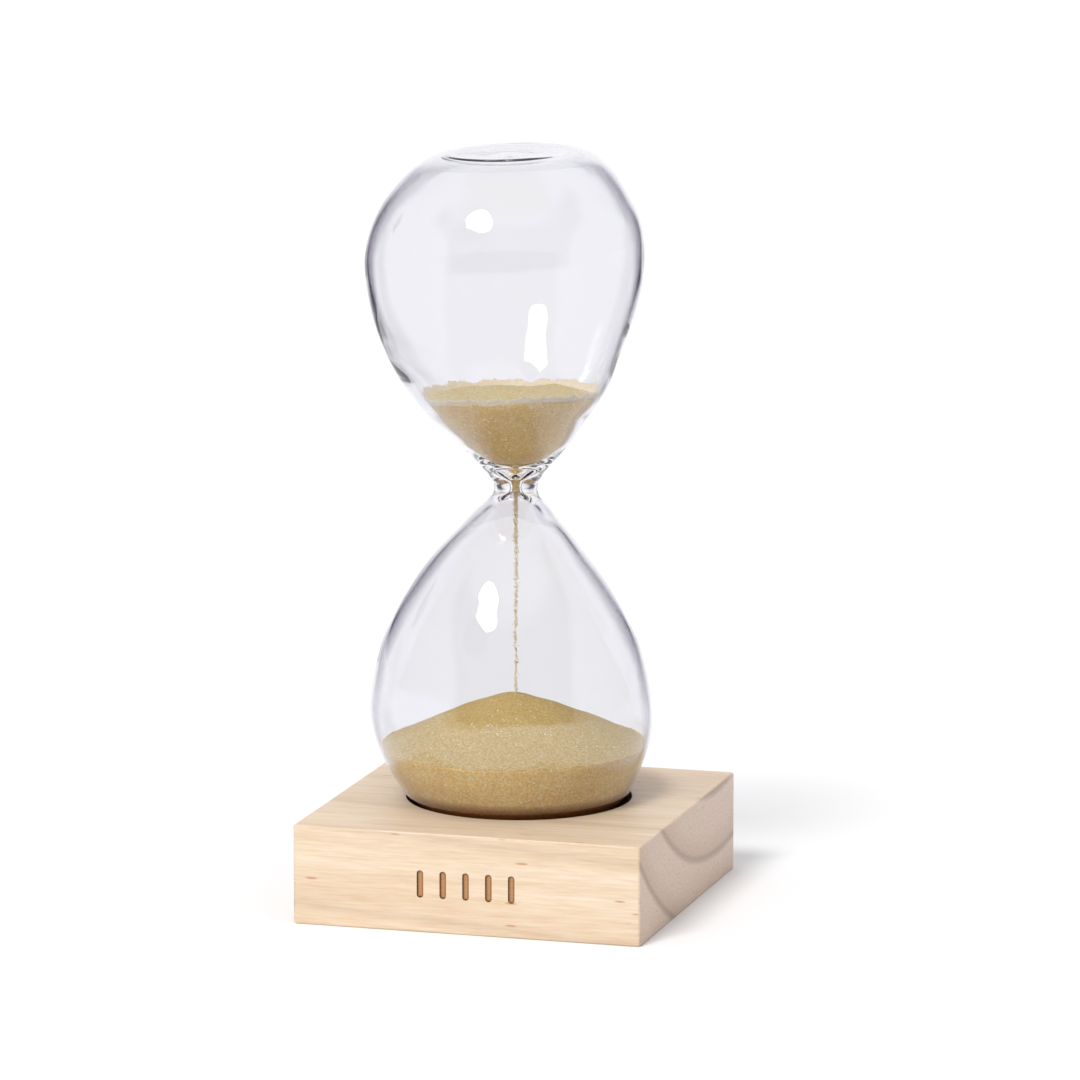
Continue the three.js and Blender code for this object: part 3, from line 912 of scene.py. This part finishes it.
def direction(azimuth, elevation):
    """A unit vector from the object; azimuth 0 is the front, and positive goes to the right."""
    a, e = math.radians(azimuth), math.radians(elevation)
    return Vector((math.sin(a) * math.cos(e), -math.cos(a) * math.cos(e), math.sin(e)))


def soft_sun(name, azimuth, elevation, strength, spread):
    """A broad far light for the matt surfaces. It doesn't show in the glass, which keeps it clean."""
    light = bpy.data.lights.new(name, "SUN")
    light.energy = strength
    light.angle = math.radians(spread)
    lamp = bpy.data.objects.new(name, light)
    lamp.rotation_euler = direction(azimuth, elevation).to_track_quat("Z", "Y").to_euler()
    lamp.visible_glossy = False
    lamp.visible_transmission = False
    bpy.context.scene.collection.objects.link(lamp)


def softbox(name, azimuth, elevation, width, height, brightness, far_wall, round_shape):
    """A glowing panel that shows as a highlight in the glass and lights nothing else: either in the
    near wall only, or only in the far wall, which is seen through the near one."""
    deselect()
    if round_shape:
        bpy.ops.mesh.primitive_circle_add(vertices=64, radius=0.5, fill_type="NGON")
    else:
        bpy.ops.mesh.primitive_plane_add(size=1)
    panel = bpy.context.object
    panel.name = name
    way = direction(azimuth, elevation)
    panel.matrix_world = (Matrix.Translation(Vector((0, 0, SOFTBOX_AIM_Z)) + way * SOFTBOX_AWAY)
                          @ way.to_track_quat("Z", "Y").to_matrix().to_4x4()
                          @ Matrix.Diagonal((width, height, 1, 1)))
    material, tree = bare_material(name)
    path = add(tree, "ShaderNodeLightPath")
    shiny = add(tree, "ShaderNodeMath", {"operation": "LESS_THAN"},
                {0: path.outputs["Diffuse Depth"], 1: 0.5})
    through = add(tree, "ShaderNodeMath", {"operation": "GREATER_THAN" if far_wall else "LESS_THAN"},
                  {0: path.outputs["Transmission Depth"], 1: FAR_WALL_DEPTH})
    glow = add(tree, "ShaderNodeMath", {"operation": "MULTIPLY"},
               {0: shiny.outputs[0], 1: through.outputs[0]})
    power = add(tree, "ShaderNodeMath", {"operation": "MULTIPLY"}, {0: glow.outputs[0], 1: brightness})
    emission = add(tree, "ShaderNodeEmission", (), {"Strength": power.outputs[0]})
    add(tree, "ShaderNodeOutputMaterial", (), {"Surface": emission.outputs[0]})
    panel.data.materials.append(material)
    panel.visible_camera = False
    panel.visible_shadow = False
    panel.visible_diffuse = False


def surround_cover(place):
    """How dark the surround is at a place behind the glass. The glass's outline is thrown on to it from
    the front: the card is clear inside it, then ever darker, then clear again."""
    from_foot = place - Vector((RECESS_X, RECESS_Y, 0))
    away, aside = from_foot.dot(DEPTH), from_foot.dot(LEAN)
    eye_height = AIM_UP + CAMERA_DISTANCE * math.sin(CAMERA_ELEVATION)
    growth = away / (CAMERA_DISTANCE * math.cos(CAMERA_ELEVATION))
    z = (place.z + eye_height * growth) / (1 + growth)
    off_axis = aside / (1 + growth) - between(AXIS_OFFSETS, z / MM) * MM
    beyond = (abs(off_axis) - between(CARD_OUTLINE, z / MM) * MM) * CARD_AWAY / away
    beyond -= CARD_GAP_LEFT if off_axis < 0 else CARD_GAP_RIGHT
    rise = held(beyond / CARD_FADE)
    fall = held((CARD_REACH - beyond) / CARD_FADE)
    if z > waist_z:
        return rise ** (SOFT_RISE if off_axis < 0 else LATE_RISE) * fall
    side = LOWER_LEFT_SHADE if off_axis < 0 else LOWER_RIGHT_SHADE
    return rise ** LATE_RISE * fall * side * between(FOOT_FADE, z / MM)


def dark_card(name, centre, up, height):
    """A dark card that only the clear glass shows. How dark it is, is painted on."""
    deselect()
    bpy.ops.mesh.primitive_grid_add(x_subdivisions=160, y_subdivisions=90, size=1)
    card = bpy.context.object
    card.name = name
    turn = Matrix((LEAN, up, LEAN.cross(up))).transposed().to_4x4()
    card.matrix_world = Matrix.Translation(centre) @ turn @ Matrix.Diagonal((CARD_WIDTH, height, 1, 1))
    paint(card, "cover", lambda corner: surround_cover(card.matrix_world @ corner))
    material, tree = bare_material(name)
    covered = add(tree, "ShaderNodeAttribute", {"attribute_name": "cover"})
    path = add(tree, "ShaderNodeLightPath")
    amount = add(tree, "ShaderNodeMath", {"operation": "MULTIPLY"},
                 {0: covered.outputs["Fac"], 1: path.outputs["Is Singular Ray"]})
    dark = add(tree, "ShaderNodeEmission", (), {"Color": linear(CARD_COLOUR), "Strength": 1.0})
    clear = add(tree, "ShaderNodeBsdfTransparent")
    mixed = add(tree, "ShaderNodeMixShader", (),
                {0: amount.outputs[0], 1: clear.outputs[0], 2: dark.outputs[0]})
    add(tree, "ShaderNodeOutputMaterial", (), {"Surface": mixed.outputs[0]})
    card.data.materials.append(material)
    card.visible_camera = False
    card.visible_shadow = False
    card.visible_diffuse = False


def dark_surround():
    """An upright dark card behind the glass and a flat one in front of its foot, cut away round the
    glass's outline, as glass is lit in a studio. They show only where the wall bends the view far to
    the side, so that the wall is drawn as a dark line."""
    foot = Vector((RECESS_X, RECESS_Y, CARD_FOOT))
    upright = foot + DEPTH * CARD_AWAY + Vector((0, 0, CARD_HEIGHT / 2))
    dark_card("upright_dark_card", upright, Vector((0, 0, 1)), CARD_HEIGHT)
    flat_depth = CARD_AWAY - CARD_NEAR
    dark_card("flat_dark_card", foot + DEPTH * (CARD_AWAY + CARD_NEAR) / 2, DEPTH, flat_depth)


def camera():
    """A long lens that looks a little down on the block's front and right side."""
    data = bpy.data.cameras.new("camera")
    data.lens = CAMERA_LENS
    data.sensor_width = SENSOR_WIDTH
    data.clip_start, data.clip_end = 0.05, 50
    body = bpy.data.objects.new("camera", data)
    az, el = CAMERA_AZIMUTH, CAMERA_ELEVATION
    back = Vector((math.sin(az) * math.cos(el), -math.cos(az) * math.cos(el), math.sin(el)))
    up = back.cross(LEAN)
    place = back * CAMERA_DISTANCE + LEAN * AIM_RIGHT + up * AIM_UP
    body.matrix_world = Matrix.Translation(place) @ Matrix((LEAN, up, back)).transposed().to_4x4()
    bpy.context.scene.collection.objects.link(body)
    bpy.context.scene.camera = body


def light_tent(tree):
    """A white tent all round, open towards the front: what shows in the glass. Matt surfaces see an
    even, dimmer light instead, so that the suns shape them."""
    tree.nodes.clear()
    way = add(tree, "ShaderNodeTexCoord").outputs["Generated"]
    turned = add(tree, "ShaderNodeVectorRotate", {"rotation_type": "Z_AXIS"},
                 {"Vector": way, "Angle": -math.radians(OPENING_AZIMUTH)})
    axes = add(tree, "ShaderNodeSeparateXYZ", (), {0: turned.outputs[0]})
    aside = add(tree, "ShaderNodeMath", {"operation": "ABSOLUTE"}, {0: axes.outputs["X"]})
    half_width = math.sin(math.radians(OPENING_HALF_WIDTH))
    top = math.sin(math.radians(OPENING_TOP))
    soft_step = {"clamp": True, "interpolation_type": "SMOOTHSTEP"}
    within = add(tree, "ShaderNodeMapRange", soft_step,
                 {"Value": aside.outputs[0], "From Min": half_width + 0.05, "From Max": half_width - 0.05})
    below = add(tree, "ShaderNodeMapRange", soft_step,
                {"Value": axes.outputs["Z"], "From Min": top + 0.06, "From Max": top - 0.06})
    front = add(tree, "ShaderNodeMath", {"operation": "LESS_THAN"}, {0: axes.outputs["Y"], 1: 0.0})
    opening = add(tree, "ShaderNodeMath", {"operation": "MULTIPLY"},
                  {0: within.outputs[0], 1: below.outputs[0]})
    opening = add(tree, "ShaderNodeMath", {"operation": "MULTIPLY"},
                  {0: opening.outputs[0], 1: front.outputs[0]})
    seen = add(tree, "ShaderNodeMath", {"operation": "MULTIPLY_ADD"},
               {0: opening.outputs[0], 1: OPENING_GLOW - TENT_GLOW, 2: TENT_GLOW})
    path = add(tree, "ShaderNodeLightPath")
    matt = add(tree, "ShaderNodeMath", {"operation": "GREATER_THAN"},
               {0: path.outputs["Diffuse Depth"], 1: 0.5})
    glow = add(tree, "ShaderNodeMix", {"data_type": "FLOAT"},
               {0: matt.outputs[0], 2: seen.outputs[0], 3: AMBIENT})
    background = add(tree, "ShaderNodeBackground", (),
                     {"Color": linear("#fbfbff"), "Strength": glow.outputs[0]})
    add(tree, "ShaderNodeOutputWorld", (), {"Surface": background.outputs[0]})


def studio():
    """White paper and a white tent, three broad suns, and a highlight or two in each wall."""
    scene = bpy.context.scene
    scene.view_settings.view_transform = "Standard"
    # light that runs along inside the glass wall turns many times before it leaves
    scene.cycles.max_bounces = 32
    scene.cycles.glossy_bounces = 24
    scene.cycles.transmission_bounces = 32
    world = bpy.data.worlds.new("studio")
    scene.world = world
    world.use_nodes = True
    world.cycles.sampling_method = "NONE"
    light_tent(world.node_tree)
    soft_sun("key", azimuth=-15, elevation=48, strength=1.8, spread=20)
    soft_sun("front_fill", azimuth=-5, elevation=12, strength=0.35, spread=80)
    soft_sun("overhead_fill", azimuth=10, elevation=80, strength=0.9, spread=110)
    softbox("key_disc", azimuth=-17, elevation=51.5, width=0.42, height=0.29,
            brightness=22, far_wall=False, round_shape=True)
    softbox("key_disc_far_wall", azimuth=-23, elevation=41, width=0.5, height=0.41,
            brightness=22, far_wall=True, round_shape=True)
    softbox("left_strip_far_wall", azimuth=-103, elevation=22, width=0.1, height=0.17,
            brightness=8, far_wall=True, round_shape=False)
    dark_surround()
    floor()
    camera()


studio()
